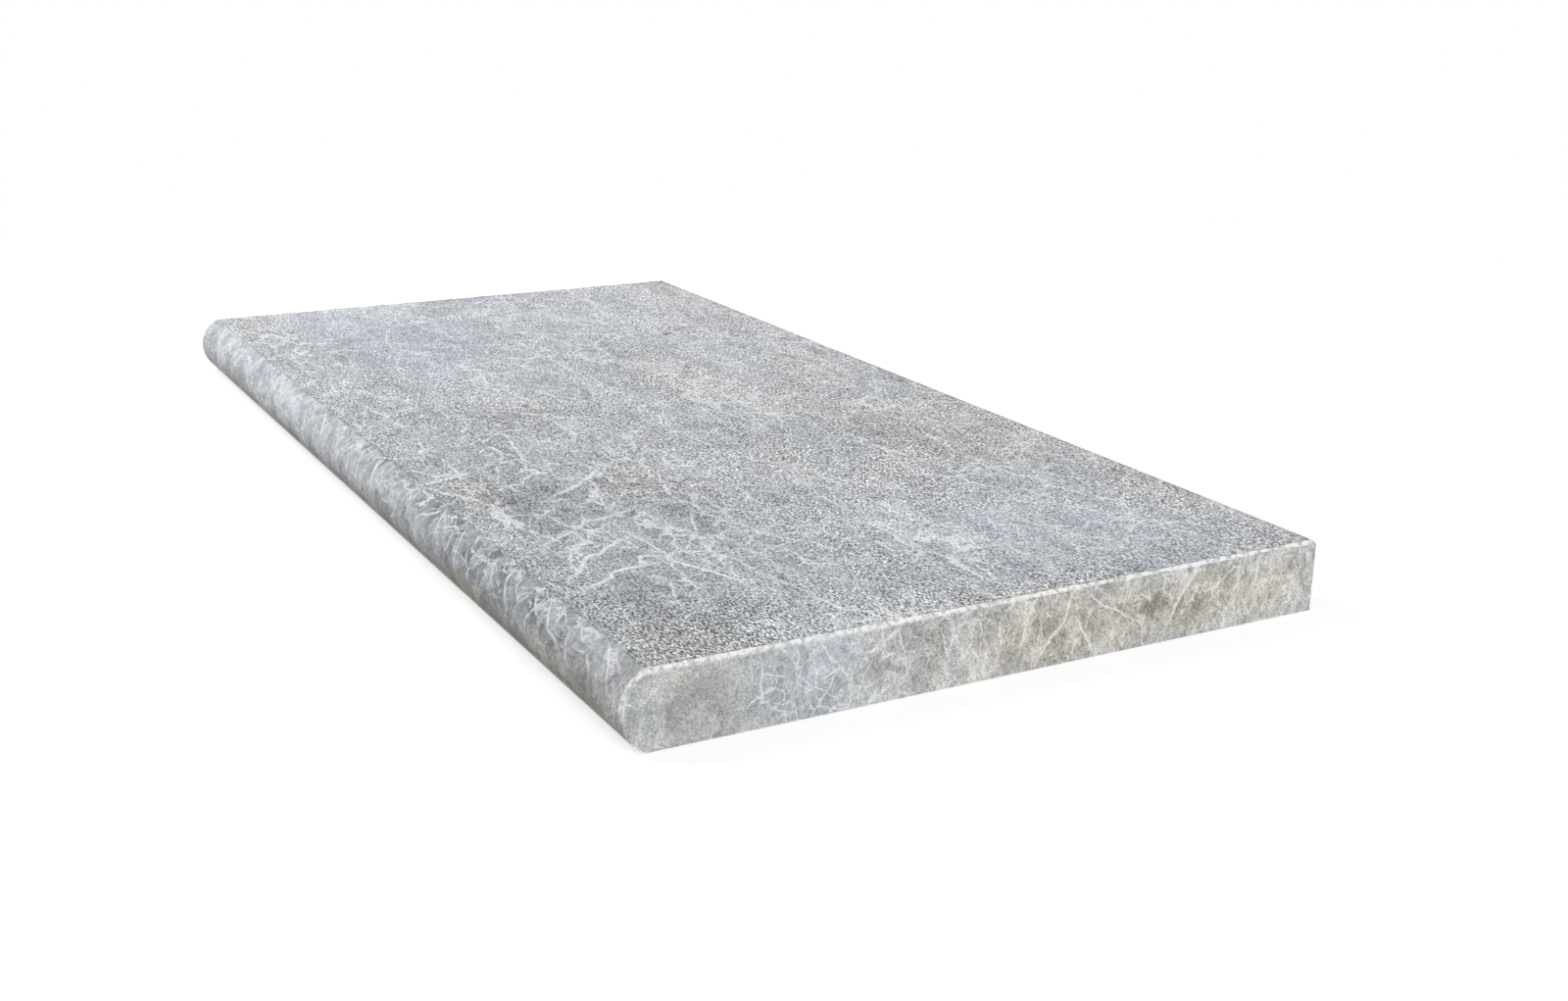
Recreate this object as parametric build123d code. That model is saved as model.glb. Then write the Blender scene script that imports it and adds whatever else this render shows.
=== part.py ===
"""Bullnose pool coping: one slab of marble, sawn to size, with a rounded nose along its pool-side edge.

Frame, in millimetres: origin at the middle of the slab's box on the bed face, +X along the coping,
+Y from the pool towards the deck, +Z up. The nose is the -Y edge.
"""

from build123d import *

import os

# Overall size of the slab
length = 610.0
depth = 305.0
thickness = 30.0

# The nose is one arc from the walking face to the bed. It is flatter than a half round,
# so it meets the walking face in a crisp line. Underneath, the line is rubbed round.
nose_depth = 9.5
heel_round = 3.0

# Eased edges: a flat bevel over both ends, which runs out down the nose, and a small round along the back
end_bevel = 1.5
back_round = 2.0

# Where the slab's faces and the ends of the nose stand
end_x = length / 2
back_y = depth / 2
nose_tip_y = -depth / 2
nose_start_y = nose_tip_y + nose_depth


def nose_arc(drawn_in=0.0):
    """The nose in section: from the walking face over the tip to the heel, with its top and tip drawn in."""
    nose_top = (nose_start_y, thickness - drawn_in)
    nose_tip = (nose_tip_y + drawn_in, thickness / 2)
    heel = (nose_start_y, 0)
    return ThreePointArc(nose_top, nose_tip, heel)


def slab_section():
    """The slab's cross-section, in the plane of its depth and thickness, with its long edges rubbed round."""
    with BuildSketch(Plane.YZ) as section:
        with BuildLine():
            Polyline((nose_start_y, 0), (back_y, 0), (back_y, thickness), (nose_start_y, thickness))
            nose_arc()
        make_face()
        heel = section.vertices().group_by(Axis.Y)[0].sort_by(Axis.X)[0]
        fillet(heel, heel_round)
        back_top = section.vertices().group_by(Axis.Y)[-1].sort_by(Axis.X)[-1]
        fillet(back_top, back_round)
    return section.sketch


def bevel_section(y, z):
    """What the bevel takes off the right-hand end, in section: its slope meets the end's face at (y, z)."""
    reach = 2 * end_bevel
    with BuildSketch(Plane(origin=(end_x, y, z), x_dir=(1, 0, 0), z_dir=(0, -1, 0))) as wedge:
        with BuildLine():
            Polyline((reach, -reach), (reach, reach), (-reach, reach), close=True)
        make_face()
    return wedge.sketch


def coping_slab():
    """The section run along the coping, with each end bevelled along the walking face and round the nose."""
    bevel_arc = nose_arc(drawn_in=end_bevel)
    arc_y = bevel_arc.arc_center.X
    arc_z = bevel_arc.arc_center.Y
    along_top = bevel_section(0, thickness - end_bevel)
    round_nose = bevel_section(arc_y, arc_z + bevel_arc.radius)
    nose_axis = Axis((0, arc_y, arc_z), (1, 0, 0))
    with BuildPart() as slab:
        extrude(slab_section(), amount=end_x, both=True)
        extrude(along_top, amount=depth, both=True, mode=Mode.SUBTRACT)
        revolve(round_nose, axis=nose_axis, revolution_arc=180, mode=Mode.SUBTRACT)
        mirror(about=Plane.YZ, mode=Mode.INTERSECT)
    return slab.part


os.makedirs("parts", exist_ok=True)
export_step(coping_slab(), "parts/coping_slab.step")
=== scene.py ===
import math
from dataclasses import dataclass

import bpy
import numpy as np
from mathutils import Matrix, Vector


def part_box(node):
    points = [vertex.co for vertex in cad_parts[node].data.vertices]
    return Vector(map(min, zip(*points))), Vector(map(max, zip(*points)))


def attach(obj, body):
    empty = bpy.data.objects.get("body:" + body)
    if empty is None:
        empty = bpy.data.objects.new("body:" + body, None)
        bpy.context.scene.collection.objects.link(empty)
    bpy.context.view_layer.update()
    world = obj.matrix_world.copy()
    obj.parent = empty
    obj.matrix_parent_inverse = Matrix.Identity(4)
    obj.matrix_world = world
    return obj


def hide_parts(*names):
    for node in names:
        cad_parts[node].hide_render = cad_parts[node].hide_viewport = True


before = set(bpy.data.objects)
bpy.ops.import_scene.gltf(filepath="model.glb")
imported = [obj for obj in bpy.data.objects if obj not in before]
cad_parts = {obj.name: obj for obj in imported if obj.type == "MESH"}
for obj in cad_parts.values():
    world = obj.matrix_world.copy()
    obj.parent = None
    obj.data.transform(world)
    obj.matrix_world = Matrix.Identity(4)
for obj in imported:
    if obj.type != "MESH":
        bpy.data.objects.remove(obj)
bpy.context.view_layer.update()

MM = 0.001

# The slab's box comes from the frame, and the sizes of its section are those of the solid.
box_low, box_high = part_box("coping_slab")
end_x, back_y, top_z = box_high
nose_tip_y = box_low[1]
nose_depth = 9.5 * MM
heel_round = 3.0 * MM
back_round = 2.0 * MM
end_bevel = 1.5 * MM
nose_start_y = nose_tip_y + nose_depth

# The mesh: faces along the slab, over the walking face, down the nose and the back, across the bed,
# and round the back's top edge and the heel
faces_along = 356
faces_over_top = 168
faces_down_side = 24
faces_over_bed = 12
back_round_faces = 4
heel_round_faces = 4

# Regions of the slab's surface
TOP, BACK, BED, NOSE, BEVEL, END = range(6)

# Each row of an end's grid lies at least this far below the row above it.
least_step = 0.1 * MM

# The ends' bevel: its mean width and how far that wanders, as shares of the full bevel, its least share,
# the wander's wavelengths, and the heights on the nose between which it runs out
bevel_mean = 0.78
bevel_wander = 0.20
bevel_least = 0.5
bevel_waves = (5.0 * MM, 60.0 * MM)
bevel_wave_count = 12
bevel_run_out = (4.0 * MM, top_z / 2.0 + 2.0 * MM)

# The worn line along the bevel: the share of the bevel where it starts, and what the row below it gets
worn_from = 0.45
worn_below = 0.6

# The sandblasted relief: depth below the walking face, and the range of its wavelengths
relief_depth = 0.22 * MM
relief_waves = (4.0 * MM, 11.0 * MM)
relief_wave_count = 60
seed = 7

# How a drawn vein ends: how soon it stops past its last point, its strength there, and the share of its
# length over which it gains full strength. Beside it, the values fade out between two distances.
vein_tip = 1.5 * MM
vein_tip_strength = 0.45
vein_tip_share = 0.25
vein_fade = (2.5 * MM, 5.0 * MM)
vein_margin = 10.0 * MM

# On the long faces, a vein that runs across the coping is wider by up to this share.
cross_spread = 0.9

# How fast a patch fades, and a place off the flat drawing, in metres, that no vein or patch reaches
patch_falloff = 1.4
off_drawing = 10.0

# Veins, drawn on the slab's faces folded out flat, in millimetres: x along the coping and y
# across it, with the nose's round below the walking face's -143 line, the back above its 150.5 line,
# the near end past 305 and the far end past -305.
# Each is a width, a strength and the points that it passes. A strength below nought is a dark scratch.
veins = [
    # The walking face, from the near corner of the nose towards the far end
    (1.0, 0.75, [
        (231, -134), (226, -130), (223, -124), (219, -117), (214, -115), (212, -106), (212, -98), (211, -90),
    ]),
    (1.2, 0.95, [(207, -90), (213, -88), (220, -85), (228, -81), (238, -78), (248, -74)]),
    (0.9, 0.50, [(238, -78), (244, -71), (250, -66), (258, -58)]),
    (0.9, 0.65, [(169, -92), (177, -89), (185, -88), (195, -88), (208, -87)]),
    (1.0, 0.75, [(212, -104), (208, -100), (202, -98), (202, -94), (207, -89)]),
    (1.1, 0.80, [
        (178, -90), (180, -96), (187, -105), (192, -110), (192, -114), (197, -119), (209, -126), (216, -134),
    ]),
    (1.0, 0.60, [
        (141, -71), (146, -75), (149, -82), (152, -91), (153, -99), (162, -108), (168, -118), (179, -134),
    ]),
    (0.9, 0.55, [(160, -55), (170, -60), (178, -62), (186, -65), (190, -68), (196, -66)]),
    (0.8, 0.50, [(211, -82), (216, -79), (226, -76), (231, -73), (240, -71)]),
    (0.9, 0.45, [(246, -127), (256, -128), (262, -129), (268, -131), (270, -137)]),
    (0.9, 0.30, [(262, -49), (270, -62), (281, -70), (292, -77)]),
    (0.8, 0.40, [(164, -33), (168, -35), (174, -37), (180, -38)]),
    (1.1, 0.80, [(75, -143), (74, -138), (72, -133), (70, -127), (69, -122), (66, -116)]),
    (0.8, 0.45, [(66, -116), (60, -107), (54, -100), (49, -95)]),
    (0.9, 0.40, [(70, -113), (80, -117), (90, -121), (97, -124)]),
    (1.1, 0.85, [(84, -63), (88, -67), (94, -71), (100, -78), (104, -82), (108, -87), (115, -98)]),
    (0.8, 0.40, [(115, -98), (124, -95), (132, -94), (141, -88)]),
    (0.8, 0.40, [(82, -107), (89, -110), (95, -109), (101, -110)]),
    (0.8, 0.40, [(97, -115), (103, -115), (110, -115)]),
    (0.8, 0.40, [(124, -125), (121, -120), (130, -122)]),
    (0.8, 0.40, [(137, -117), (142, -119), (148, -121)]),
    (0.8, 0.30, [(90, -138), (93, -134), (96, -128), (98, -123)]),
    (0.8, 0.35, [(84, -41), (88, -45), (90, -48)]),
    (0.8, 0.35, [(103, -45), (108, -50), (115, -55)]),
    (0.8, 0.35, [(117, -68), (124, -66), (131, -65)]),
    (0.8, 0.40, [(30, -107), (36, -108)]),
    (0.8, 0.40, [(34, -114), (42, -115)]),
    (1.2, 0.75, [(-97, -137), (-99, -134), (-102, -131)]),
    # The nose's round, from the near end to the middle
    (0.8, 0.45, [(300, -151), (304, -155)]),
    (0.9, 0.60, [(295, -152), (298, -155), (301, -159)]),
    (0.9, 0.50, [(284, -144), (290, -147), (296, -149)]),
    (1.1, 0.80, [(278, -144), (284, -147), (288, -150), (290, -153), (293, -156)]),
    (0.9, 0.45, [(270, -147), (273, -150)]),
    (0.9, 0.65, [(261, -153), (266, -152), (272, -152), (276, -155), (279, -159)]),
    (1.2, 0.70, [(264, -146), (265, -149)]),
    (0.9, 0.55, [(256, -145), (260, -147), (264, -149)]),
    (0.8, 0.50, [(248, -150), (250, -148), (253, -149), (256, -154)]),
    (0.9, 0.55, [(238, -144), (244, -146), (249, -149)]),
    (1.1, 0.90, [(230, -145), (232, -148), (235, -151), (240, -154), (246, -155), (252, -157)]),
    (0.8, 0.50, [(225, -146), (226, -149), (227, -151)]),
    (1.0, 0.75, [(218, -147), (222, -150), (226, -152), (229, -153)]),
    (0.9, 0.50, [(214, -148), (212, -152), (210, -155), (209, -158)]),
    (1.6, 0.70, [(213, -146), (216, -145), (222, -145)]),
    (0.9, 0.45, [(200, -147), (203, -150), (208, -153)]),
    (1.1, 0.80, [(192, -145), (193, -149), (194, -152), (198, -155), (200, -158)]),
    (1.0, 0.65, [(176, -145), (177, -149), (180, -152), (184, -155)]),
    (1.0, 0.55, [(165, -150), (172, -150), (178, -150)]),
    (0.9, 0.50, [(163, -147), (166, -150), (164, -153)]),
    (0.9, 0.45, [(160, -151), (161, -155)]),
    (1.4, 0.60, [(151, -144), (153, -147)]),
    (1.0, 0.65, [(138, -145), (141, -149), (143, -155), (144, -160)]),
    (1.0, 0.60, [(118, -151), (125, -149), (130, -147), (136, -146)]),
    (0.8, 0.40, [(122, -154), (127, -153)]),
    (1.2, 0.80, [(112, -144), (115, -149), (117, -153), (117, -156)]),
    (1.2, 0.85, [(92, -157), (95, -153), (98, -152), (103, -150), (108, -148), (110, -144)]),
    (0.9, 0.40, [(93, -158), (94, -163)]),
    (0.8, 0.45, [(81, -145), (82, -150)]),
    (1.0, 0.60, [(76, -148), (79, -150), (81, -155), (82, -158)]),
    (1.0, 0.70, [(93, -145), (84, -144), (75, -145), (74, -149), (71, -153)]),
    (0.9, 0.55, [(50, -159), (57, -158), (62, -156), (66, -155)]),
    (1.0, 0.65, [(42, -152), (50, -151), (58, -149)]),
    (1.0, 0.60, [(36, -156), (44, -156), (52, -155)]),
    (0.9, 0.55, [(50, -144), (50, -150)]),
    (0.9, 0.45, [(42, -144), (42, -149)]),
    (1.7, 0.85, [(25, -145), (28, -150), (30, -154), (33, -160)]),
    (1.2, 0.60, [(16, -145), (15, -150)]),
    (1.6, 0.60, [(6, -148), (9, -155), (11, -160)]),
    # The nose's round beyond the middle
    (1.5, 0.60, [(-10, -146), (-3, -147), (-3, -151)]),
    (1.1, 0.50, [(-26, -150), (-25, -160)]),
    (1.2, 0.60, [(-29, -151), (-27, -158)]),
    (1.2, 0.55, [(-33, -151), (-32, -158)]),
    (1.3, 0.55, [(-40, -145), (-37, -149)]),
    (1.5, 0.75, [(-64, -145), (-58, -148), (-54, -151), (-51, -154), (-49, -156)]),
    (1.0, 0.45, [(-68, -152), (-67, -156)]),
    (1.2, 0.85, [(-86, -150), (-83, -152), (-81, -155), (-78, -158)]),
    (1.2, 0.50, [(-115, -149), (-112, -151), (-109, -153), (-104, -154)]),
    # The near end, from the nose to the back
    (0.7, 0.30, [(325, -112), (327, -105), (328, -100)]),
    (0.7, 0.55, [(315, -99), (316, -95), (318, -90)]),
    (0.7, 0.60, [(326, -95), (328, -92), (327, -87)]),
    (0.7, 0.45, [(325, -88), (330, -87)]),
    (0.7, 0.70, [(307, -86), (311, -85), (315, -86)]),
    (0.7, 0.60, [(323, -83), (328, -81), (333, -79)]),
    (0.8, 0.75, [(322, -77), (320, -72), (318, -68)]),
    (1.6, 0.60, [(317, -75), (319, -73)]),
    (0.8, 0.50, [(306, -52), (312, -51)]),
    (0.7, 0.45, [(325, -46), (330, -46)]),
    (0.7, 0.40, [(318, -32), (322, -32)]),
    (0.8, 0.60, [(312, -27), (318, -25), (325, -24)]),
    (0.8, 0.55, [(314, -21), (320, -18), (326, -17)]),
    (1.4, 0.55, [(322, -13), (327, -9)]),
    (0.8, 0.50, [(318, -8), (326, -5)]),
    (1.4, 0.55, [(310, 13), (314, 11), (320, 10), (328, 8)]),
    (1.2, 0.75, [(306, 32), (311, 30), (318, 28), (324, 22), (329, 18), (334, 15)]),
    (0.7, 0.80, [(318, 34), (322, 36), (327, 39), (334, 43)]),
    (0.7, 0.85, [(307, 36), (312, 42), (315, 46), (318, 52), (321, 57), (325, 64), (330, 68)]),
    (0.8, 0.45, [(307, 56), (311, 58), (315, 60)]),
    (0.7, 0.45, [(326, 52), (330, 55), (334, 57)]),
    (1.5, 0.70, [(308, 90), (313, 87), (317, 84), (322, 81), (330, 77)]),
    (1.2, 0.50, [(327, 98), (326, 103)]),
    (1.5, 0.45, [(311, 112), (318, 113), (325, 111), (331, 112)]),
    (1.8, 0.55, [(307, 122), (314, 122), (320, 121), (327, 122), (333, 120)]),
    (0.7, 0.60, [(317, 126), (319, 129), (317, 132)]),
    (0.8, 0.50, [(321, 137), (328, 138)]),
    (0.8, 0.45, [(312, 141), (317, 143)]),
    (0.8, 0.45, [(310, 148), (315, 149)]),
    (0.7, 0.40, [(328, 130), (333, 132)]),
    # The back and the far end, which the photograph doesn't show
    (1.3, 0.60, [(-242, 153), (-234, 162), (-226, 170), (-222, 181)]),
    (1.0, 0.50, [(-234, 162), (-222, 160), (-208, 164), (-196, 163)]),
    (1.0, 0.50, [(-150, 152), (-146, 160), (-138, 168)]),
    (1.4, 0.60, [(-20, 182), (-12, 172), (-8, 162), (0, 153)]),
    (0.9, 0.45, [(-60, 158), (-48, 164), (-34, 166), (-10, 172)]),
    (1.0, 0.50, [(60, 155), (70, 160), (84, 163), (96, 170)]),
    (1.3, 0.55, [(150, 181), (156, 172), (166, 164), (170, 154)]),
    (1.0, 0.50, [(230, 153), (236, 162), (238, 172), (246, 180)]),
    (1.3, 0.60, [(-306, -90), (-314, -84), (-322, -80), (-333, -72)]),
    (0.9, 0.45, [(-314, -84), (-316, -96), (-322, -108), (-322, -118)]),
    (1.0, 0.50, [(-308, -20), (-316, -14), (-324, -2), (-330, 4)]),
    (1.3, 0.55, [(-333, 60), (-324, 66), (-316, 70), (-308, 80)]),
    (0.9, 0.50, [(-312, 110), (-320, 118), (-328, 122)]),
    # Scratches and pits
    (0.9, -0.80, [(-164, 99), (-160, 92)]),
    (1.1, -0.90, [(-156, 88), (-150, 79)]),
    (1.3, -0.70, [(-35, -51), (-30, -54)]),
    (1.4, -0.60, [(0, -43), (2, -46)]),
    (1.0, -0.60, [(188, 143), (191, 140)]),
    (0.8, -0.50, [(160, 128), (166, 122)]),
]

# Patches, on the same flat drawing: middle x and y, half length and half width, lightness, warmth,
# greenness, grain and how densely veined, each added to the stone around them
patches = [
    # The walking face
    (-222, -61, 150, 70, 0.02, -0.30, 0.0, -0.2, 0.0),
    (-255, 10, 60, 45, 0.10, 0.00, 0.0, 0.0, 0.0),
    (-50, 0, 60, 30, 0.13, 0.00, 0.0, 0.0, 0.0),
    (242, 52, 50, 75, 0.09, -0.30, 0.0, 0.0, 0.4),
    (150, -112, 150, 36, -0.23, -0.10, 0.0, 0.0, 0.3),
    (125, -55, 75, 28, -0.18, 0.00, 0.0, 0.0, 0.4),
    (275, -108, 45, 38, -0.06, 0.10, 0.0, 0.15, -0.9),
    (145, 42, 50, 30, -0.06, 0.10, 0.0, 0.3, 0.0),
    (85, 86, 60, 30, -0.05, 0.20, 0.0, 0.0, 0.0),
    (-45, -61, 60, 25, 0.03, 0.20, 0.0, 0.0, 0.0),
    (-45, 39, 60, 25, 0.03, 0.20, 0.0, 0.0, 0.0),
    (-88, 66, 100, 30, 0.03, 0.10, 0.0, 0.0, 0.0),
    (-40, 114, 60, 28, 0.13, 0.00, 0.0, 0.0, 0.0),
    (125, 132, 35, 15, 0.05, 0.15, 0.0, -0.2, 0.0),
    (225, 138, 60, 20, -0.04, 0.20, 0.0, 0.1, 0.0),
    (62, -91, 45, 30, -0.03, -0.30, 0.0, 0.0, 0.2),
    (112, -64, 28, 28, -0.06, 0.30, 0.0, 0.3, 0.1),
    (112, -124, 40, 16, -0.04, 0.10, 0.0, 0.2, 0.3),
    (-270, -125, 40, 18, -0.03, 0.25, 0.0, 0.1, 0.0),
    (190, -90, 80, 45, 0.00, -0.40, 0.0, -0.1, 1.0),
    (172, -92, 14, 8, 0.10, 0.00, 0.0, 0.0, 0.0),
    (228, -131, 8, 6, 0.10, 0.00, 0.0, 0.0, 0.0),
    (0, 125, 330, 35, 0.00, 0.15, 0.0, 0.0, 0.0),
    (-190, 90, 120, 60, 0.07, 0.00, 0.0, 0.0, 0.0),
    (90, -75, 130, 60, -0.12, 0.00, 0.0, 0.0, 0.0),
    (90, -126, 34, 16, -0.07, 0.25, 0.0, 0.0, -0.5),
    (60, 0, 330, 130, -0.03, 0.00, 0.0, 0.0, 0.0),
    (-150, 0, 55, 36, -0.08, 0.00, 0.0, 0.0, 0.0),
    (180, -60, 90, 50, -0.06, 0.00, 0.0, 0.0, 0.0),
    (60, 115, 190, 45, -0.07, 0.00, 0.0, 0.0, 0.0),
    # The nose's round: pale beyond the middle and blue-grey before it; towards the bed, painted shade and
    # painted warm reflected light make it darker and browner, and a painted contact shadow runs along the
    # bed's edge
    (-150, -153, 190, 11, 0.19, -0.20, 0.0, 0.0, 0.6),
    (0, -154, 110, 10, 0.10, 0.00, 0.0, 0.0, 0.0),
    (150, -151, 170, 10, -0.34, -0.50, 0.0, 0.0, 0.8),
    (60, -144, 260, 4, -0.24, -0.10, 0.0, 0.0, 0.0),
    # Painted shade and painted warm reflected light: the nose darker and browner towards the bed
    (160, -169, 170, 9, -0.30, 1.10, 0.0, 0.0, -1.0),
    (-150, -171, 170, 9, -0.26, 0.50, 0.0, 0.0, -0.6),
    (-222, -150, 90, 8, 0.10, 0.00, 0.0, 0.0, 0.0),
    (75, -164, 85, 7, -0.12, -0.40, 0.0, 0.0, 0.0),
    (50, -152, 90, 9, 0.14, 0.00, 0.0, 0.0, 0.0),
    (255, -157, 50, 8, -0.08, 0.35, 0.0, 0.0, 0.0),
    # Painted contact shadow: a thin dark line along the nose's edge at the bed
    (30, -168, 300, 2, -0.34, 0.20, 0.0, 0.0, 0.0),
    (0, -176, 600, 5, 0.38, -0.40, 0.0, 0.0, 0.6),
    # The near end
    (320, 0, 40, 170, -0.05, 0.00, 0.0, 0.0, 0.0),
    (320, -125, 60, 36, 0.00, 0.20, 0.8, -0.2, -0.8),
    (307, -122, 8, 30, 0.09, 0.00, 0.2, 0.0, 0.0),
    (319, -122, 8, 11, 0.08, 0.00, 0.0, 0.0, 0.0),
    (324, -142, 9, 6, -0.08, 0.00, 0.0, 0.0, 0.0),
    (325, -105, 9, 8, -0.10, 0.00, 0.0, 0.0, -0.3),
    (320, -58, 24, 9, 0.03, 0.10, 0.5, 0.0, 0.0),
    (322, -47, 4, 5, -0.14, 0.00, 0.0, 0.0, 0.0),
    (320, -33, 24, 10, 0.00, 0.50, 0.4, 0.0, 0.0),
    (320, -78, 24, 20, 0.08, -0.35, 0.0, 0.0, 0.5),
    (320, -45, 24, 16, 0.06, 0.30, 0.6, 0.0, 0.2),
    (310, -57, 6, 8, 0.14, 0.00, 0.4, 0.0, 0.0),
    (327, -63, 7, 8, 0.10, 0.00, 0.4, 0.0, 0.0),
    (314, -35, 4, 5, -0.15, 0.00, 0.0, 0.0, 0.0),
    (320, -10, 24, 20, 0.10, 0.70, 0.3, 0.0, 0.3),
    (329, -14, 6, 18, 0.17, 0.00, 0.0, 0.0, 0.3),
    (320, 28, 24, 32, 0.05, 0.95, 0.0, 0.0, 0.2),
    (320, 17, 8, 7, -0.20, 0.20, 0.0, 0.0, -0.3),
    (320, 62, 16, 18, 0.02, 0.80, 0.0, 0.0, 0.0),
    (319, 71, 6, 9, -0.17, 0.30, 0.0, 0.0, -0.3),
    (310, 92, 5, 20, 0.10, 0.30, 0.0, 0.0, 0.2),
    (321, 92, 12, 15, -0.22, 1.50, 0.0, 0.0, -0.4),
    (320, 128, 16, 26, 0.08, 0.95, 0.0, 0.0, 0.5),
    (331, 137, 5, 7, -0.10, 0.20, 0.0, 0.0, 0.0),
    (319, 24, 8, 18, -0.08, 0.10, 0.0, 0.0, 0.0),
    (328, 57, 6, 18, 0.05, 0.00, 0.0, 0.0, 0.0),
    # The back and the far end
    (-200, 168, 80, 20, 0.06, 0.50, 0.0, 0.0, 0.6),
    (-60, 165, 60, 18, -0.05, -0.30, 0.0, 0.0, 0.4),
    (90, 168, 90, 20, 0.06, 0.60, 0.0, 0.0, 0.7),
    (230, 168, 60, 20, -0.04, -0.30, 0.0, 0.0, 0.5),
    (-320, -100, 24, 40, 0.05, 0.50, 0.0, 0.0, 0.5),
    (-320, 0, 24, 50, -0.05, -0.30, 0.3, 0.0, 0.6),
    (-320, 100, 24, 40, 0.06, 0.70, 0.0, 0.0, 0.5),
    # The near end's corner by the nose
    (309, -131, 3, 6, 0.26, 0.40, -0.6, 0.0, 0.0),
    (313, -141, 5, 4, 0.30, 0.40, -0.6, 0.0, 0.0),
    (309, -119, 4, 4, 0.24, 0.30, -0.6, 0.0, 0.0),
]

rng = np.random.default_rng(seed)


def smooth_step(low, high, value):
    """0 below low, 1 above high, and a smooth rise between them."""
    t = np.clip((value - low) / (high - low), 0.0, 1.0)
    return t * t * (3.0 - 2.0 * t)


def random_waves(points, lengths, count):
    """A smooth random field over points in a plane, about -1 to 1, made of waves of mixed lengths."""
    field = np.zeros(len(points))
    for length in np.geomspace(*lengths, count):
        heading = rng.uniform(0.0, 2.0 * math.pi)
        along = points @ np.array([math.cos(heading), math.sin(heading)])
        field += np.cos(2.0 * math.pi * along / length + rng.uniform(0.0, 2.0 * math.pi))
    return field * math.sqrt(2.0 / count) / 2.0


def arc_points(centre, radius, start, stop, faces):
    """Points along an arc in the section, from one angle to another, without the first."""
    angles = np.linspace(start, stop, faces + 1)[1:]
    return np.column_stack([centre[0] + radius * np.cos(angles), centre[1] + radius * np.sin(angles)])


def line_points(start, stop, faces):
    """Points along a straight line in the section, without the first."""
    share = np.linspace(0.0, 1.0, faces + 1)[1:, None]
    return np.array(start) * (1.0 - share) + np.array(stop) * share


def slab_section():
    """The section's points (y, z) once round, from the nose's top line over the walking face."""
    middle_z = top_z / 2.0
    nose_radius = (middle_z**2 + nose_depth**2) / (2.0 * nose_depth)
    nose_centre = (nose_tip_y + nose_radius, middle_z)
    heel_reach = nose_radius - heel_round
    heel_centre = (nose_centre[0] - math.sqrt(heel_reach**2 - (middle_z - heel_round) ** 2), heel_round)
    heel_angle = math.atan2(heel_centre[1] - nose_centre[1], heel_centre[0] - nose_centre[0])
    top_angle = math.atan2(middle_z, nose_start_y - nose_centre[0])
    back_centre = (back_y - back_round, top_z - back_round)
    start = (nose_start_y, top_z)
    top_end = (back_centre[0], top_z)
    heel_start = (heel_centre[0], 0.0)
    straight = faces_down_side - back_round_faces
    nose_faces = faces_down_side - heel_round_faces
    return np.vstack([
        [start],
        line_points(start, top_end, faces_over_top),
        arc_points(back_centre, back_round, math.pi / 2.0, 0.0, back_round_faces),
        line_points((back_y, back_centre[1]), (back_y, 0.0), straight),
        line_points((back_y, 0.0), heel_start, faces_over_bed),
        arc_points(heel_centre, heel_round, -math.pi / 2.0, heel_angle, heel_round_faces),
        arc_points(nose_centre, nose_radius, heel_angle, top_angle - 2.0 * math.pi, nose_faces)[:-1],
    ])


def unit(vectors):
    """The vectors at a length of 1."""
    return vectors / np.linalg.norm(vectors, axis=1, keepdims=True)


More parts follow.
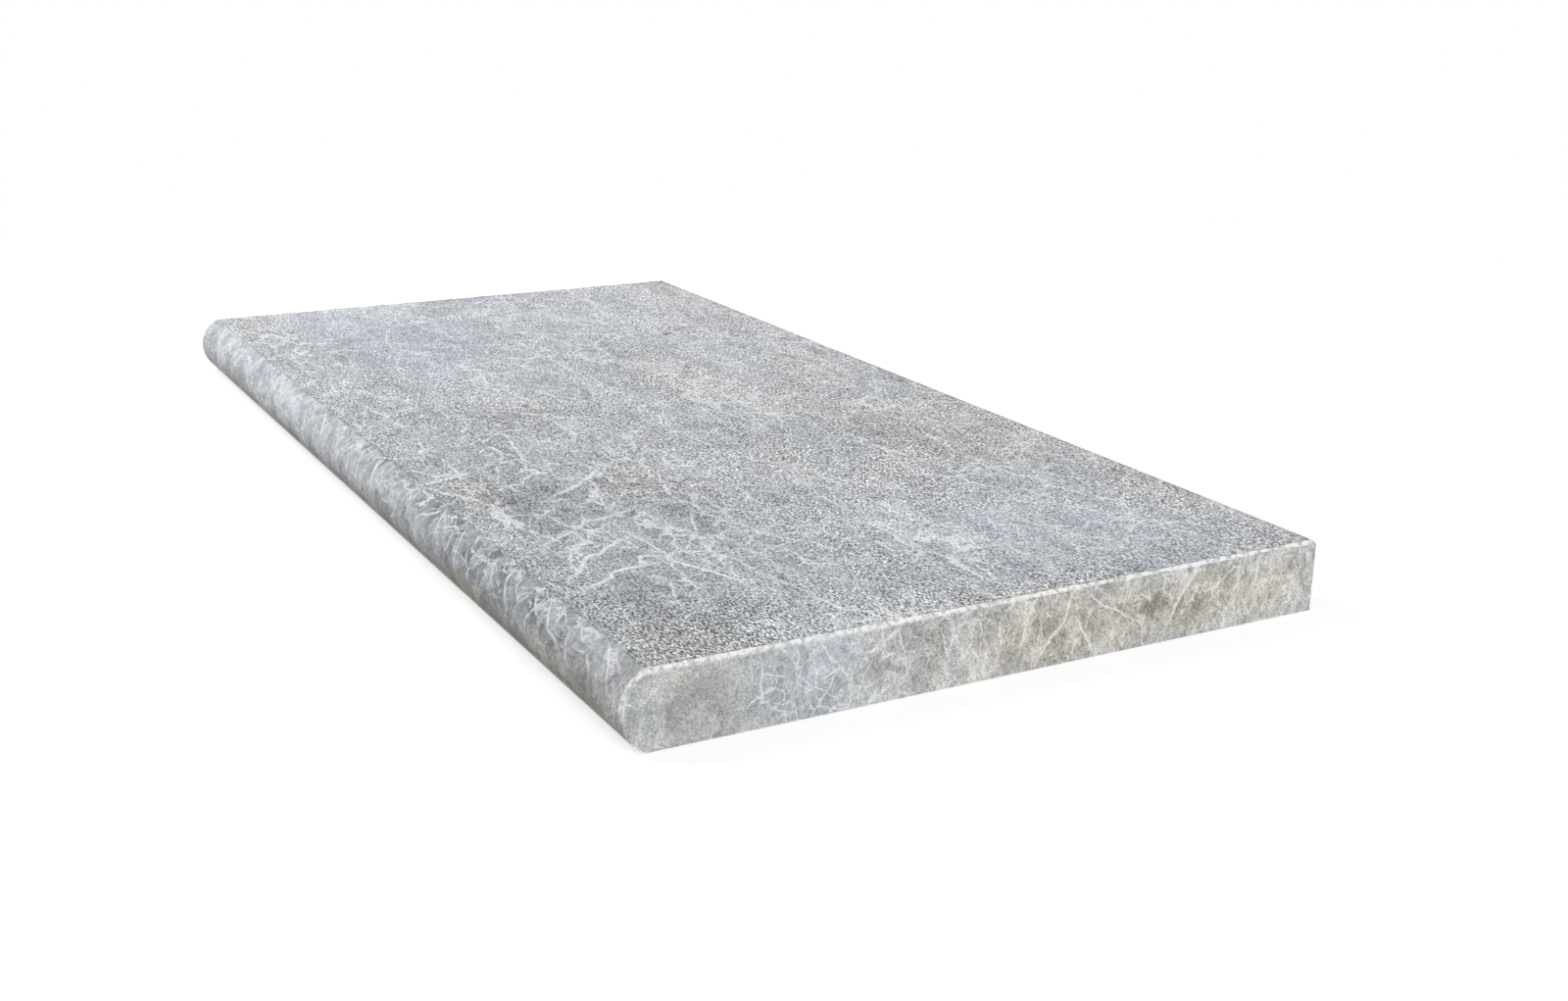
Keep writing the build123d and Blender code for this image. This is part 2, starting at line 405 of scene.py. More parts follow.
class Slab:
    """The slab's points and faces: rings of the section along the coping, and a grid over each end."""

    def __init__(self):
        self.section = slab_section()
        self.ring = len(self.section)
        self.back_start = faces_over_top
        self.bed_start = self.back_start + faces_down_side
        self.heel_start = self.bed_start + faces_over_bed
        self.corners = []
        self.face_sizes = []
        self.regions = []
        self.measure_round()
        self.place_points()
        self.join_faces()

    def measure_round(self):
        """Each section point's length along the nose or the back, and its place across the flat drawing."""
        steps = np.linalg.norm(np.roll(self.section, -1, axis=0) - self.section, axis=1)
        self.run = np.zeros(self.ring)
        self.across = self.section[:, 0].copy()
        nose = slice(self.heel_start, self.ring)
        self.run[nose] = np.cumsum(steps[nose][::-1])[::-1]
        self.across[nose] = nose_start_y - self.run[nose]
        back = slice(self.back_start + 1, self.bed_start + 1)
        self.run[back] = np.cumsum(steps[self.back_start : self.bed_start])
        self.across[back] = back_y - back_round + self.run[back]
        self.across[self.bed_start + 1 : self.heel_start] = off_drawing

    def end_easing(self):
        """The width of one end's bevel at each section point, and the share of it that moves the point in."""
        count = self.ring
        wander = random_waves(self.section, bevel_waves, bevel_wave_count)
        width = end_bevel * (bevel_mean + bevel_wander * wander)
        share = np.zeros(count)
        share[: self.back_start + 1] = 1.0
        back = slice(self.back_start, self.back_start + back_round_faces + 1)
        share[back] = np.linspace(1.0, 0.0, back_round_faces + 1)
        nose = slice(self.heel_start, count)
        share[nose] = smooth_step(*bevel_run_out, self.section[nose, 1])
        return np.clip(width, bevel_least * end_bevel, end_bevel), share

    def place_points(self):
        """Puts every point in place, with its place on the flat drawing."""
        inner = end_x - 2.0 * end_bevel
        between = np.linspace(-inner, inner, faces_along - 3)
        stations = np.concatenate([[-end_x, -end_x], between, [end_x, end_x]])
        rows = len(stations)
        rings = np.empty((rows, self.ring, 3))
        rings[:, :, 0] = stations[:, None]
        rings[:, :, 1:] = self.section
        tangent = np.roll(self.section, -1, axis=0) - np.roll(self.section, 1, axis=0)
        inward = unit(np.column_stack([tangent[:, 1], -tangent[:, 0]]))
        worn = np.zeros((rows, self.ring))
        for end, side in ((0, -1.0), (rows - 1, 1.0)):
            width, share = self.end_easing()
            rings[end, :, 1:] += inward * (width * share)[:, None]
            rings[end - int(side), :, 0] = side * (end_x - width)
            worn[[end, end - int(side)]] = smooth_step(worn_from, 1.0, share)
        flat = np.empty((rows, self.ring, 2))
        flat[:, :, 0] = rings[:, :, 0]
        flat[:, :, 1] = self.across
        self.rows = rows
        self.points = rings.reshape(-1, 3)
        self.flat = flat.reshape(-1, 2)
        self.runs = np.tile(self.run, rows)
        self.worn = worn.ravel()
        # Painted shade: the rows along the walking face's edges and creases get a dark line
        border = np.zeros((rows, self.ring))
        border[[1, -2], : self.back_start + 1] = 1.0
        border[:, [0, self.back_start]] = 1.0
        self.border = border.ravel()
        self.roughen_top()
        self.ends = [self.end_grid(0), self.end_grid(rows - 1)]

    def roughen_top(self):
        """Sinks the walking face's points by the sandblasted relief. The lines at its borders stay."""
        blasted = np.zeros((self.rows, self.ring), dtype=bool)
        blasted[1:-1, 1 : self.back_start] = True
        blasted = blasted.ravel()
        waves = random_waves(self.points[blasted, :2], relief_waves, relief_wave_count)
        self.points[blasted, 2] -= relief_depth * np.clip(0.5 + 0.5 * waves, 0.0, 1.0)

    def end_grid(self, row):
        """Adds the points inside one end, and returns the grid of point numbers from its top line down."""
        first = row * self.ring
        side = 1.0 if row else -1.0
        grid = np.empty((faces_down_side, faces_over_top + 1), dtype=int)
        grid[0] = first + np.arange(faces_over_top + 1)
        top = self.points[grid[0], 1]
        share = ((top - top[0]) / (top[-1] - top[0]))[1:-1, None]
        for down in range(1, faces_down_side):
            left = first + self.ring - down
            right = first + self.back_start + down
            inside = self.points[left] * (1.0 - share) + self.points[right] * share
            above = self.points[grid[down - 1, 1:-1], 2]
            inside[:, 2] = np.minimum(inside[:, 2], above - least_step)
            flat = np.column_stack([side * (end_x + top_z - inside[:, 2]), inside[:, 1]])
            grid[down, 0] = left
            grid[down, -1] = right
            grid[down, 1:-1] = len(self.points) + np.arange(len(inside))
            self.points = np.vstack([self.points, inside])
            self.flat = np.vstack([self.flat, flat])
            self.runs = np.concatenate([self.runs, np.zeros(len(inside))])
            worn = np.full(len(inside), worn_below if down == 1 else 0.0)
            self.worn = np.concatenate([self.worn, worn])
            self.border = np.concatenate([self.border, np.zeros(len(inside))])
        return grid

    def add_faces(self, faces, region):
        """Adds faces that all have the same number of corners to one region of the slab."""
        faces = np.asarray(faces)
        self.corners.append(faces.ravel())
        self.face_sizes.append(np.full(len(faces), faces.shape[1]))
        self.regions.append(np.full(len(faces), region))

    def join_faces(self):
        """Joins the rings into long faces, and each end's grid, with fans down to the bed's edge."""
        numbers = np.arange(self.rows * self.ring).reshape(self.rows, self.ring)
        after = np.roll(numbers, -1, axis=1)
        quads = np.stack([numbers[:-1], numbers[1:], after[1:], after[:-1]], axis=-1)
        starts = (0, self.back_start, self.bed_start, self.heel_start, self.ring)
        for region, start, stop in zip((TOP, BACK, BED, NOSE), starts[:-1], starts[1:]):
            self.add_faces(quads[1:-1, start:stop].reshape(-1, 4), region)
            edge_region = BEVEL if region in (TOP, NOSE) else region
            self.add_faces(quads[[0, -1], start:stop].reshape(-1, 4), edge_region)
        step = faces_over_top // faces_over_bed
        for grid, first, turn in ((self.ends[0], 0, -1), (self.ends[1], (self.rows - 1) * self.ring, 1)):
            quads = np.stack([grid[1:, :-1], grid[1:, 1:], grid[:-1, 1:], grid[:-1, :-1]], axis=-1)
            self.add_faces(quads.reshape(-1, 4)[:, ::turn], END)
            low_row = grid[-1]
            bed = first + np.arange(self.heel_start, self.bed_start - 1, -1)
            nearest = bed[(np.arange(faces_over_top) + step - step // 2) // step]
            fans = np.stack([nearest, low_row[1:], low_row[:-1]], axis=-1)
            feet = np.stack([bed[:-1], bed[1:], low_row[step // 2 :: step]], axis=-1)
            self.add_faces(np.concatenate([fans, feet])[:, ::turn], END)


def past_ends(forward, span, is_first, is_last):
    """How far each spot lies past a vein's own ends, from its place along one span of the vein."""
    past = np.zeros(len(forward))
    if is_first:
        past = np.maximum(past, -forward)
    if is_last:
        past = np.maximum(past, forward - span)
    return past


def vein_distances(flat):
    """For each point of the flat drawing: signed distance from the nearest vein, its width and strength."""
    nearest = np.full(len(flat), 1.0)
    signed = np.full(len(flat), 1.0)
    width = np.full(len(flat), MM)
    strength = np.zeros(len(flat))
    for vein_width, vein_strength, points in veins:
        line = np.array(points) * MM
        spans = np.linalg.norm(np.diff(line, axis=0), axis=1)
        starts = np.concatenate([[0.0], np.cumsum(spans)])
        reach = np.ptp(line, axis=0).max() + vein_margin
        near = np.flatnonzero(np.abs(flat - line.mean(axis=0)).max(axis=1) < reach)
        for i, span in enumerate(spans):
            heading = (line[i + 1] - line[i]) / span
            offset = flat[near] - line[i]
            forward = offset @ heading
            along = np.clip(forward, 0.0, span)
            gap = np.linalg.norm(offset - along[:, None] * heading, axis=1)
            side = np.sign(offset[:, 0] * heading[1] - offset[:, 1] * heading[0])
            past = past_ends(forward, span, i == 0, i == len(spans) - 1)
            place = (starts[i] + along) / starts[-1]
            gain = smooth_step(0.0, vein_tip_share, np.minimum(place, 1.0 - place))
            power = vein_tip_strength + (1.0 - vein_tip_strength) * gain
            power = power * (1.0 - smooth_step(0.0, vein_tip, past))
            spread = np.where(np.abs(flat[near, 0]) < end_x, 1.0 + cross_spread * abs(heading[1]), 1.0)
            closer = gap < nearest[near]
            where = near[closer]
            nearest[where] = gap[closer]
            signed[where] = (gap * side)[closer]
            width[where] = vein_width * MM * spread[closer]
            strength[where] = vein_strength * power[closer]
    strength *= 1.0 - smooth_step(*vein_fade, nearest)
    return signed, width, strength


def patch_sums(flat):
    """The patches' lightness, warmth, greenness, grain and veining at each point of the flat drawing."""
    sums = np.zeros((len(flat), 5))
    for x, y, half_length, half_width, *amounts in patches:
        offset = (flat - np.array([x, y]) * MM) / (np.array([half_length, half_width]) * MM)
        sums += np.exp(-patch_falloff * (offset**2).sum(axis=1))[:, None] * np.array(amounts)
    return sums.T


def lay_out_map(mesh, slab, corners, corner_regions):
    """Lays the faces out on one square: the walking face at full width, and the hidden bed at half size."""
    used_width = 0.98
    scale = used_width / (2.0 * end_x)
    x, y, z = slab.points[corners].T
    run = slab.runs[corners]
    side = np.where(x > 0.0, 0.5, 0.0)
    # Each region's measures across and up, and its left and lower edge on the square
    places = {
        TOP: (x + end_x, y - nose_start_y, 0.01, 0.01),
        BEVEL: (x + end_x, np.where(run > 0.0, -run, y - nose_start_y), 0.01, 0.035),
        NOSE: (x + end_x, run, 0.01, 0.50),
        BACK: (x + end_x, run, 0.01, 0.58),
        END: (y - nose_tip_y + side / scale, z, 0.005, 0.65),
        BED: ((x + end_x) / 2.0, (y - nose_tip_y) / 2.0, 0.01, 0.71),
    }
    uv = np.empty((len(corners), 2))
    for region, (across, up, left, low) in places.items():
        here = corner_regions == region
        uv[here, 0] = left + scale * across[here]
        uv[here, 1] = low + scale * up[here]
    layer = mesh.uv_layers.new(name="OFBake")
    layer.data.foreach_set("uv", uv.ravel())


def mark_sharp_edges(mesh, face_facets):
    """Keeps a crisp line wherever two facets meet. The back's and heel's rounds are smooth on both sides."""
    loop_edges = np.empty(len(mesh.loops), dtype=int)
    mesh.loops.foreach_get("edge_index", loop_edges)
    sizes = np.empty(len(mesh.polygons), dtype=int)
    mesh.polygons.foreach_get("loop_total", sizes)
    facets = np.repeat(face_facets, sizes)
    lowest = np.full(len(mesh.edges), face_facets.max() + 1)
    highest = np.full(len(mesh.edges), -1)
    np.minimum.at(lowest, loop_edges, facets)
    np.maximum.at(highest, loop_edges, facets)
    sharp = mesh.attributes.new("sharp_edge", "BOOLEAN", "EDGE")
    sharp.data.foreach_set("value", lowest != highest)


def make_slab(materials):
    """The slab as one closed mesh, with its veins and patches as values at its points."""
    slab = Slab()
    sizes = np.concatenate(slab.face_sizes)
    corners = np.concatenate(slab.corners)
    regions = np.concatenate(slab.regions)
    faces = np.split(corners, np.cumsum(sizes)[:-1])
    mesh = bpy.data.meshes.new("marble_slab")
    mesh.from_pydata(slab.points.tolist(), [], [face.tolist() for face in faces], shade_flat=False)
    # The facet and the material of each region, in the regions' order
    facet_of = np.array([0, 0, 1, 1, 2, 3])
    finish_of = np.array([0, 2, 3, 1, 4, 2])
    mark_sharp_edges(mesh, facet_of[regions])
    lay_out_map(mesh, slab, corners, np.repeat(regions, sizes))
    signed, width, strength = vein_distances(slab.flat)
    lightness, warmth, green, grain, veining = patch_sums(slab.flat)
    values = {
        "vein": signed / MM,
        "vein_width": width / MM,
        "vein_strength": strength,
        "lightness": lightness,
        "warmth": warmth,
        "green": green,
        "grain": grain,
        "veining": veining,
        "worn": slab.worn,
        "border": slab.border,
    }
    for name, value in values.items():
        mesh.attributes.new(name, "FLOAT", "POINT").data.foreach_set("value", value)
    for material in materials:
        mesh.materials.append(material)
    mesh.polygons.foreach_set("material_index", finish_of[regions])
    mesh.validate()
    piece = bpy.data.objects.new("marble_slab", mesh)
    bpy.context.collection.objects.link(piece)
    return piece


class Graph:
    """Adds nodes to a material and links them. An input is a value or another node's socket."""

    def __init__(self, name):
        self.material = bpy.data.materials.new(name)
        self.material.use_nodes = True
        self.tree = self.material.node_tree
        self.shader = self.tree.nodes["Principled BSDF"]

    def node(self, kind, inputs, **settings):
        node = self.tree.nodes.new("ShaderNode" + kind)
        for name, value in settings.items():
            setattr(node, name, value)
        for key, value in inputs.items():
            self.put(value, node.inputs[key])
        return node

    def put(self, value, socket):
        if isinstance(value, bpy.types.NodeSocket):
            self.tree.links.new(value, socket)
        else:
            socket.default_value = value

    def math(self, operation, a, b=0.0):
        return self.node("Math", {0: a, 1: b}, operation=operation).outputs[0]

    def times(self, a, b):
        return self.math("MULTIPLY", a, b)

    def total(self, *values):
        result = values[0]
        for value in values[1:]:
            result = self.math("ADD", result, value)
        return result

    def highest(self, first, *others):
        for other in others:
            first = self.math("MAXIMUM", first, other)
        return first

    def vector(self, operation, a, b):
        return self.node("VectorMath", {0: a, 1: b}, operation=operation).outputs[0]

    def scaled(self, vector, factor):
        return self.node("VectorMath", {0: vector, "Scale": factor}, operation="SCALE").outputs[0]

    def attribute(self, name):
        return self.node("Attribute", {}, attribute_name=name).outputs["Fac"]

    def noise(self, place, scale, detail=2.0, roughness=0.5, output="Fac"):
        inputs = {"Vector": place, "Scale": scale, "Detail": detail, "Roughness": roughness}
        return self.node("TexNoise", inputs).outputs[output]

    def voronoi(self, place, scale, feature, output):
        return self.node("TexVoronoi", {"Vector": place, "Scale": scale}, feature=feature).outputs[output]

    def ramp(self, value, low, high, start=0.0, stop=1.0):
        """The value's range from low to high, smoothly mapped to start and stop."""
        inputs = {"Value": value, "From Min": low, "From Max": high, "To Min": start, "To Max": stop}
        return self.node("MapRange", inputs, interpolation_type="SMOOTHSTEP").outputs[0]

    def swing(self, value, amount):
        """A value about a half, as a swing about nought: the amount times what it is above a half."""
        return self.times(self.math("SUBTRACT", value, 0.5), amount)

    def mix(self, share, a, b):
        return self.node("Mix", {0: share, 6: a, 7: b}, data_type="RGBA").outputs[2]


# The stone's colours
cool_stone = (0.450, 0.470, 0.513, 1.0)
warm_stone = (0.509, 0.489, 0.441, 1.0)
green_stone = (0.466, 0.481, 0.472, 1.0)
vein_white = (0.790, 0.805, 0.825, 1.0)
vein_cream = (0.790, 0.775, 0.725, 1.0)
scratch_grey = (0.130, 0.130, 0.130, 1.0)
# Painted shade: the dark line along the walking face's edges and creases
edge_shade_grey = (0.200, 0.205, 0.205, 1.0)
worn_edge = (0.860, 0.865, 0.835, 1.0)

# How a place is bent before lines are drawn on it: noise scales, and how far each pushes, in metres
slow_bends = ((22.0, 0.036), (110.0, 0.008), (420.0, 0.0014))
sharp_bends = ((40.0, 0.012), (180.0, 0.005), (700.0, 0.0012))

# The net's widest lines, in metres, and those of the net within it
wide_line = 0.0009
close_line = 0.0007

# How far the bump stands out, in metres, and how strongly the stone's surface reflects
bump_height = 0.0004
reflection = 0.25


@dataclass
class Finish:
    """How the stone is worked on some of its faces."""

    # How much blasted grain shows, how smooth the face is, and how strongly it is mottled
    grain: float
    polish: float
    contrast: float
    # How strong the net of cracks, the threads and the wisps are
    crackle: float
    thread: float
    wisp: float = 0.1
    # The net's cells in a metre, the width of its lines, and the width of the drawn veins
    cells: float = 30.0
    line: float = 1.0
    pen: float = 1.0
    # How the pattern is squeezed along x, y and z: below 1 it is drawn out
    stretch: tuple = (1.0, 1.0, 1.0)
    # How strong the flecks, the worn edges and the saw's marks are
    fleck: float = 0.0
    worn: float = 0.0
    saw: float = 0.0


def warped(graph, place, bends):
    """The place bent by slow and quick noise, so that lines and cells drawn on it wander as veins do."""
    bent = place
    for scale, reach in bends:
        push = graph.vector("SUBTRACT", graph.noise(place, scale, output="Color"), (0.5, 0.5, 0.5))
        bent = graph.vector("ADD", bent, graph.scaled(push, reach))
    return bent


def cracks(graph, bent, scale, width):
    """Thin lines along the borders of cells, which change in width as they go."""
    border = graph.voronoi(bent, scale, "DISTANCE_TO_EDGE", "Distance")
    thick = graph.ramp(graph.noise(bent, scale * 1.7), 0.32, 0.64, 0.05 * width * scale, width * scale)
    return graph.ramp(graph.math("DIVIDE", border, thick), 0.35, 1.0, 1.0, 0.0)


def threads(graph, bent, scale, width):
    """Lines that meander where a noise crosses a half, wider where it does so slowly."""
    level = graph.math("ABSOLUTE", graph.math("SUBTRACT", graph.noise(bent, scale, 1.0), 0.5))
    return graph.ramp(level, 0.1 * width, width, 1.0, 0.0)


def drawn_veins(graph, place, pen):
    """The drawn veins, from the distances at the mesh's points, with a wavering line."""
    waver = graph.total(
        graph.attribute("vein"),
        graph.swing(graph.noise(place, 160.0), 2.2),
        graph.swing(graph.noise(place, 620.0), 1.2),
    )
    gap = graph.math("DIVIDE", graph.math("ABSOLUTE", waver), graph.times(graph.attribute("vein_width"), pen))
    core = graph.ramp(gap, 0.25, 0.90, 1.3, 0.0)
    haze = graph.ramp(gap, 0.3, 2.0, 0.16, 0.0)
    patchy = graph.ramp(graph.noise(place, 240.0), 0.25, 0.6, 0.6, 1.0)
    line = graph.times(graph.math("MAXIMUM", core, haze), patchy)
    return graph.times(line, graph.attribute("vein_strength"))


def islands(graph, jagged, line):
    """How pale the ground is between its smooth islands, and the thin white line along their shores."""
    level = graph.noise(jagged, 70.0, 4.0, 0.65)
    from_shore = graph.math("ABSOLUTE", graph.math("SUBTRACT", level, 0.5))
    return graph.ramp(level, 0.46, 0.56), graph.ramp(from_shore, 0.006, 0.026 * line, 1.0, 0.0)


def fine_veins(graph, finish, veined, bent, jagged, pale, shore):
    """The small white veins: cracks, threads, shores and wisps, dense where the stone is veined."""
    wisps = graph.ramp(graph.noise(jagged, 240.0, 4.0, 0.7), 0.53, 0.64)
    wide_net = cracks(graph, jagged, finish.cells, wide_line * finish.line)
    close_net = cracks(graph, jagged, 2.0 * finish.cells, close_line * finish.line)
    strands = threads(graph, bent, 40.0, 0.018 * finish.line)
    net = graph.highest(
        graph.times(wide_net, graph.ramp(veined, 0.24, 0.50, 0.0, finish.crackle)),
        graph.times(close_net, graph.ramp(veined, 0.32, 0.56, 0.0, finish.crackle)),
        graph.times(shore, graph.ramp(veined, 0.33, 0.62, 0.0, 0.55 * finish.crackle)),
        graph.times(graph.times(wisps, pale), graph.ramp(veined, 0.33, 0.65, 0.0, finish.wisp)),
        graph.times(strands, graph.ramp(veined, 0.30, 0.60, 0.0, finish.thread)),
    )
    return graph.times(net, graph.ramp(graph.noise(bent, 130.0), 0.32, 0.56, 0.35, 1.0))


def stone_ground(graph, bent, pale, mottle, cloud, contrast):
    """The stone between its veins: blue-grey and beige-grey patches, lighter and darker in turn."""
    cell = graph.node("SeparateColor", {0: graph.voronoi(bent, 34.0, "F1", "Color")}).outputs
    plain = graph.ramp(graph.attribute("veining"), -1.0, 0.0, 0.75 * contrast, contrast)
    mottled = graph.total(graph.swing(pale, 0.13), graph.swing(mottle, 0.6))
    lightness = graph.total(
        1.0,
        graph.attribute("lightness"),
        graph.swing(cell[0], 0.12),
        graph.swing(cloud, 0.35),
        graph.times(mottled, plain),
    )
    warmth = graph.total(
        0.25,
        graph.attribute("warmth"),
        graph.swing(cell[1], 0.15),
        graph.swing(cloud, 0.5),
        graph.swing(mottle, 0.20 * contrast),
    )
    colour = graph.mix(graph.ramp(warmth, 0.0, 1.0), cool_stone, warm_stone)
    colour = graph.mix(graph.ramp(graph.attribute("green"), 0.0, 1.0), colour, green_stone)
    return graph.scaled(colour, lightness), warmth


def blasted_grain(graph, place, veined):
    """What the blasting left: salt and pepper, pale curled flakes, and smears where veins are dense."""
    swept = graph.vector("MULTIPLY", place, (0.5, 1.0, 1.0))
    specks = graph.noise(swept, 900.0, 2.0, 0.75)
    crumbs = graph.noise(swept, 1500.0, 1.0)
    flakes = graph.noise(place, 170.0, 3.0, 0.65)
    flaky = graph.ramp(graph.attribute("veining"), -0.7, -0.1)
    curls = graph.times(threads(graph, place, 300.0, 0.05), flaky)
    bitten = graph.total(
        -0.06,
        graph.swing(specks, 4.3),
        graph.swing(crumbs, 5.0),
        graph.swing(flakes, 0.9),
        graph.times(curls, 0.28),
    )
    smear = graph.ramp(veined, 0.42, 0.66)
    return graph.total(graph.times(bitten, graph.ramp(smear, 0.0, 1.0, 1.15, 0.9)), graph.swing(smear, 0.07))


def saw_strokes(graph, place):
    """Fine upright streaks, as a saw leaves them."""
    return graph.noise(graph.vector("MULTIPLY", place, (1.0, 1.0, 0.10)), 480.0, 2.0)


def speckles(graph, finish, place, drawn_out, veined, warmth):
    """How light each speck of the face is beside the stone around it, and the relief of its grain."""
    grains = blasted_grain(graph, place, veined)
    amount = graph.times(graph.math("ADD", graph.attribute("grain"), 1.0), finish.grain)
    amount = graph.times(amount, graph.ramp(warmth, -0.1, 0.8, 0.75, 1.25))
    rubbed = graph.swing(saw_strokes(graph, place), finish.saw)
    flecks = graph.swing(graph.noise(drawn_out, 360.0, 4.0, 0.75), finish.fleck)
    flecks = graph.times(flecks, graph.ramp(graph.attribute("veining"), -1.0, 0.0, 0.6, 1.0))
    speckle = graph.total(1.0, graph.times(grains, amount), rubbed, flecks)
    height = graph.total(graph.times(grains, graph.times(amount, 0.5)), rubbed)
    return graph.math("MAXIMUM", speckle, 0.25), height


def veined_over(graph, stone, fine, drawn, warmth, speckle):
    """The stone with white veins and dark scratches over it, and how white it is."""
    white = graph.math("MINIMUM", graph.math("MAXIMUM", fine, drawn), 0.92)
    dark = graph.math("MAXIMUM", graph.times(drawn, -1.0), 0.0)
    vein = graph.mix(graph.ramp(warmth, 0.55, 1.1), vein_white, vein_cream)
    stone = graph.mix(white, stone, graph.scaled(vein, graph.ramp(speckle, 0.0, 2.0, 0.75, 1.25)))
    return graph.mix(dark, stone, scratch_grey), white


def worn_over(graph, stone, place, worn):
    """The stone with pale chips along its worn edges."""
    chips = graph.ramp(graph.noise(place, 420.0, 3.0), 0.36, 0.58, 0.15 * worn, worn)
    return graph.mix(graph.times(chips, graph.attribute("worn")), stone, worn_edge)


def marble(name, finish):
    """The stone's material in one finish."""
    graph = Graph(name)
    place = graph.node("TexCoord", {}).outputs["Object"]
    drawn_out = graph.vector("MULTIPLY", place, finish.stretch)
    bent = warped(graph, drawn_out, slow_bends)
    jagged = warped(graph, drawn_out, sharp_bends)
    cloud = graph.noise(place, 16.0, 3.0)
    mottle = graph.noise(bent, 90.0, 5.0, 0.75)
    veined = graph.total(graph.noise(bent, 30.0, 3.0, 0.6), graph.times(graph.attribute("veining"), 0.25))
    pale, shore = islands(graph, jagged, finish.line)
    stone, warmth = stone_ground(graph, bent, pale, mottle, cloud, finish.contrast)
    speckle, height = speckles(graph, finish, place, drawn_out, veined, warmth)
    stone = graph.scaled(stone, speckle)
    # Painted shade: a dark line along the walking face's edges and creases, strongest on the blasted face
    stone = graph.mix(graph.times(graph.attribute("border"), finish.grain * 0.5), stone, edge_shade_grey)
    drawn = drawn_veins(graph, place, finish.pen)
    fine = fine_veins(graph, finish, veined, bent, jagged, pale, shore)
    stone, white = veined_over(graph, stone, fine, drawn, warmth, speckle)
    if finish.worn:
        stone = worn_over(graph, stone, place, finish.worn)
    height = graph.total(height, graph.times(mottle, 0.05))
    bump = graph.node("Bump", {"Height": height, "Strength": 0.5, "Distance": bump_height})
    rough = graph.total(1.0 - finish.polish, graph.swing(mottle, 0.2), graph.times(white, -0.05))
    graph.put(stone, graph.shader.inputs["Base Color"])
    graph.put(rough, graph.shader.inputs["Roughness"])
    graph.put(reflection, graph.shader.inputs["Specular IOR Level"])
    graph.put(bump.outputs[0], graph.shader.inputs["Normal"])
    return graph.material


def make_floor():
    """A pale floor that shows white to the camera, keeps the slab's shadow and throws little light back."""
    size = 8.0
    below_slab = 0.2 * MM
    white_from, white_at = 0.5, 0.9
    mesh = bpy.data.meshes.new("floor")
    corners = [(-size, -size, 0.0), (size, -size, 0.0), (size, size, 0.0), (-size, size, 0.0)]
    mesh.from_pydata(corners, [], [(0, 1, 2, 3)])
    graph = Graph("floor_white")
    graph.shader.inputs["Base Color"].default_value = (0.30, 0.30, 0.30, 1.0)
    graph.shader.inputs["Roughness"].default_value = 0.9
    graph.shader.inputs["Specular IOR Level"].default_value = 0.0
    shade = graph.node("BsdfDiffuse", {"Color": (0.42, 0.42, 0.42, 1.0)})
    glow = graph.node("Emission", {"Color": (1.0, 1.0, 1.0, 1.0), "Strength": 0.70})
    white = graph.node("Emission", {"Color": (1.0, 1.0, 1.0, 1.0), "Strength": 1.0})
    near = graph.node("AddShader", {0: shade.outputs[0], 1: glow.outputs[0]})
    place = graph.node("TexCoord", {}).outputs["Object"]
    away = graph.node("VectorMath", {0: place}, operation="LENGTH").outputs["Value"]
    far = graph.ramp(away, white_from, white_at)
    shown = graph.node("MixShader", {0: far, 1: near.outputs[0], 2: white.outputs[0]})
    path = graph.node("LightPath", {}).outputs
    seen = graph.math("MAXIMUM", path["Is Camera Ray"], path["Is Glossy Ray"])
    seen = graph.math("MAXIMUM", seen, path["Is Transmission Ray"])
    both = graph.node("MixShader", {0: seen, 1: graph.shader.outputs[0], 2: shown.outputs[0]})
    graph.put(both.outputs[0], graph.tree.nodes["Material Output"].inputs["Surface"])
    mesh.materials.append(graph.material)
    floor = bpy.data.objects.new("floor", mesh)
    floor.location.z = -below_slab
    bpy.context.collection.objects.link(floor)


def make_lamp(name, place, size, power):
    """A square soft lamp that points at the slab."""
    data = bpy.data.lights.new(name, "AREA")
    data.size = size
    data.energy = power
    lamp = bpy.data.objects.new(name, data)
    bpy.context.collection.objects.link(lamp)
    lamp.location = place
    lamp.rotation_euler = (-lamp.location).to_track_quat("-Z", "Y").to_euler()


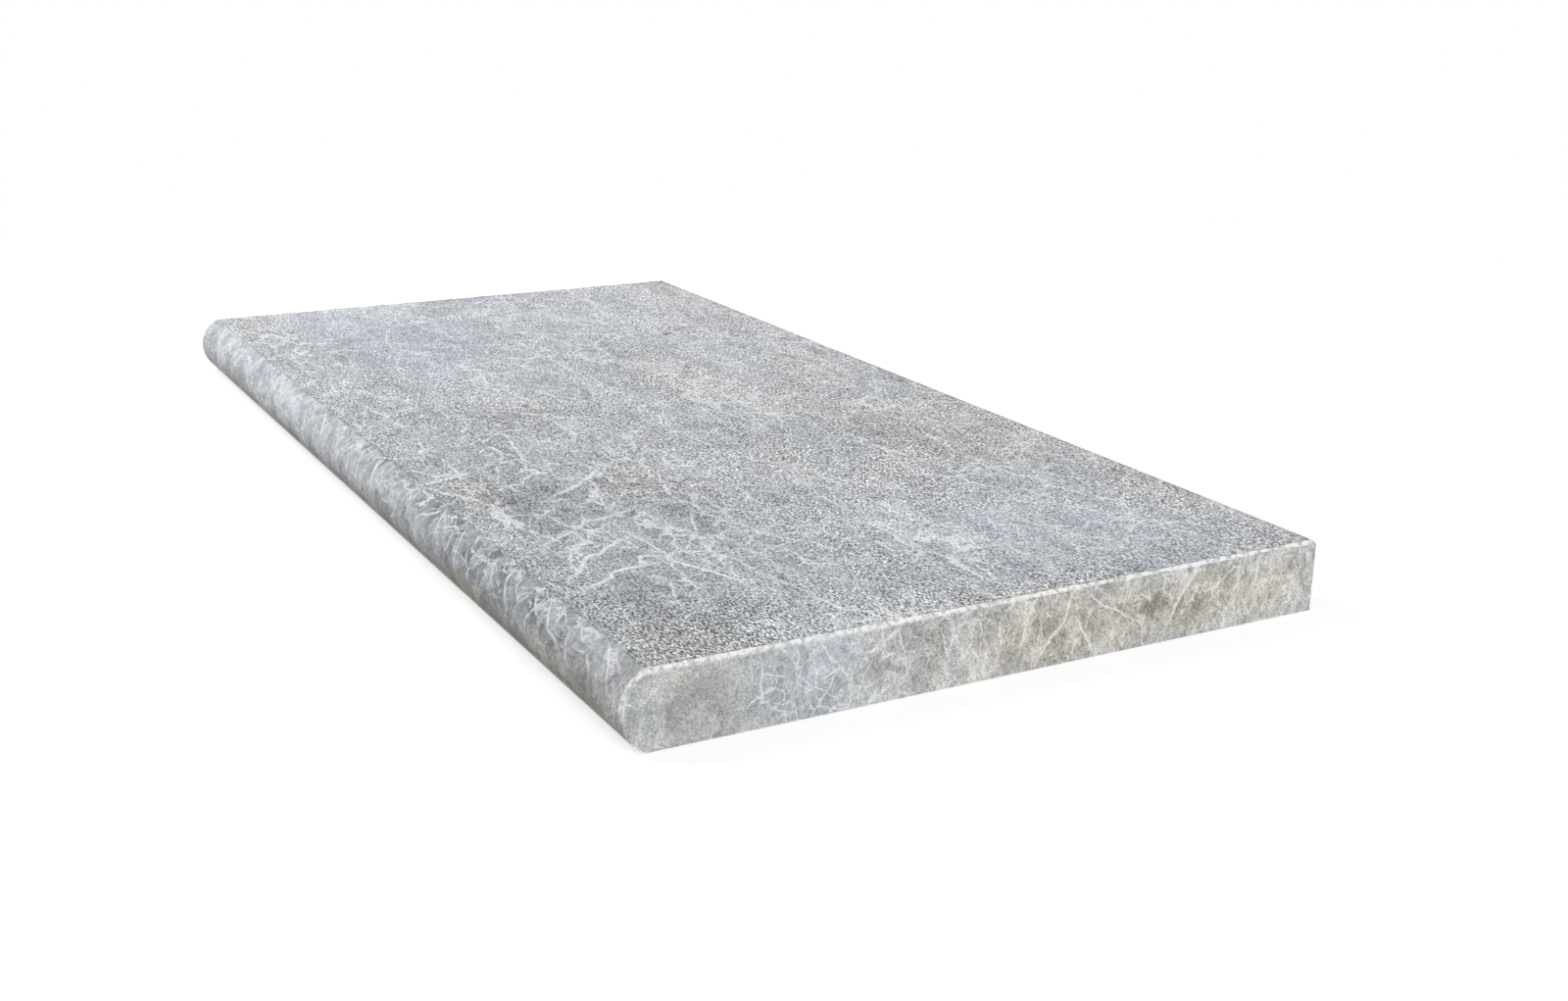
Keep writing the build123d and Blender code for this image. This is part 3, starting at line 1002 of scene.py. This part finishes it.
def make_light():
    """An even white sky, a key lamp over the nose's side, and fill lamps before the near end and behind."""
    sky_light = 0.42
    sky_seen = 1.0
    world = bpy.data.worlds.new("studio")
    world.use_nodes = True
    tree = world.node_tree
    sky = tree.nodes["Background"]
    sky.inputs["Color"].default_value = (1.0, 1.0, 1.0, 1.0)
    path = tree.nodes.new("ShaderNodeLightPath")
    seen = tree.nodes.new("ShaderNodeMath")
    seen.operation = "MAXIMUM"
    tree.links.new(path.outputs["Is Camera Ray"], seen.inputs[0])
    tree.links.new(path.outputs["Is Glossy Ray"], seen.inputs[1])
    strength = tree.nodes.new("ShaderNodeMapRange")
    strength.inputs["To Min"].default_value = sky_light
    strength.inputs["To Max"].default_value = sky_seen
    tree.links.new(seen.outputs[0], strength.inputs["Value"])
    tree.links.new(strength.outputs[0], sky.inputs["Strength"])
    bpy.context.scene.world = world
    make_lamp("key_lamp", (-0.75, -0.75, 1.1), 0.9, 14.6)
    make_lamp("back_lamp", (-0.9, 1.8, 0.3), 0.6, 11.0)
    make_lamp("fill_lamp", (2.0, 0.1, 0.5), 1.2, 26.0)


def make_camera():
    """The camera at the photograph's viewing angle."""
    place = (0.8197, -0.3789, 0.2659)
    azimuth, elevation, roll = (math.radians(angle) for angle in (60.86, 17.45, 0.81))
    data = bpy.data.cameras.new("camera")
    data.sensor_width = 36.0
    data.lens = 42.8
    camera = bpy.data.objects.new("camera", data)
    turn = Matrix.Rotation(azimuth, 4, "Z") @ Matrix.Rotation(math.pi / 2.0 - elevation, 4, "X")
    camera.matrix_world = Matrix.Translation(place) @ turn @ Matrix.Rotation(roll, 4, "Z")
    bpy.context.collection.objects.link(camera)
    bpy.context.scene.camera = camera


blasted = Finish(
    grain=1.0, polish=0.12, contrast=0.9, crackle=0.85, thread=0.75, wisp=0.16, cells=24.0,
    stretch=(0.5, 1.0, 1.0),
)
ground_nose = Finish(
    grain=0.15, polish=0.45, contrast=2.3, crackle=0.85, thread=0.25, wisp=0.05, cells=34.0,
    line=0.72, pen=0.62, stretch=(0.85, 1.0, 1.0), fleck=1.9,
)
honed_end = Finish(
    grain=0.22, polish=0.40, contrast=1.7, crackle=0.75, thread=0.40, wisp=0.2, cells=48.0,
    line=0.6, pen=0.75, stretch=(1.0, 1.0, 0.8), fleck=1.6, worn=0.9, saw=0.06,
)
sawn_bed = Finish(grain=0.25, polish=0.20, contrast=0.9, crackle=0.4, thread=0.3, saw=0.3)
eased_edge = Finish(grain=0.15, polish=0.30, contrast=0.9, crackle=0.4, thread=0.3, worn=1.0)

slab = make_slab([
    marble("marble_blasted", blasted),
    marble("marble_nose", ground_nose),
    marble("marble_end", honed_end),
    marble("marble_sawn", sawn_bed),
    marble("marble_bevel", eased_edge),
])
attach(slab, "root")
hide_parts("coping_slab")
make_floor()
make_light()
make_camera()
bpy.context.scene.view_settings.view_transform = "Standard"
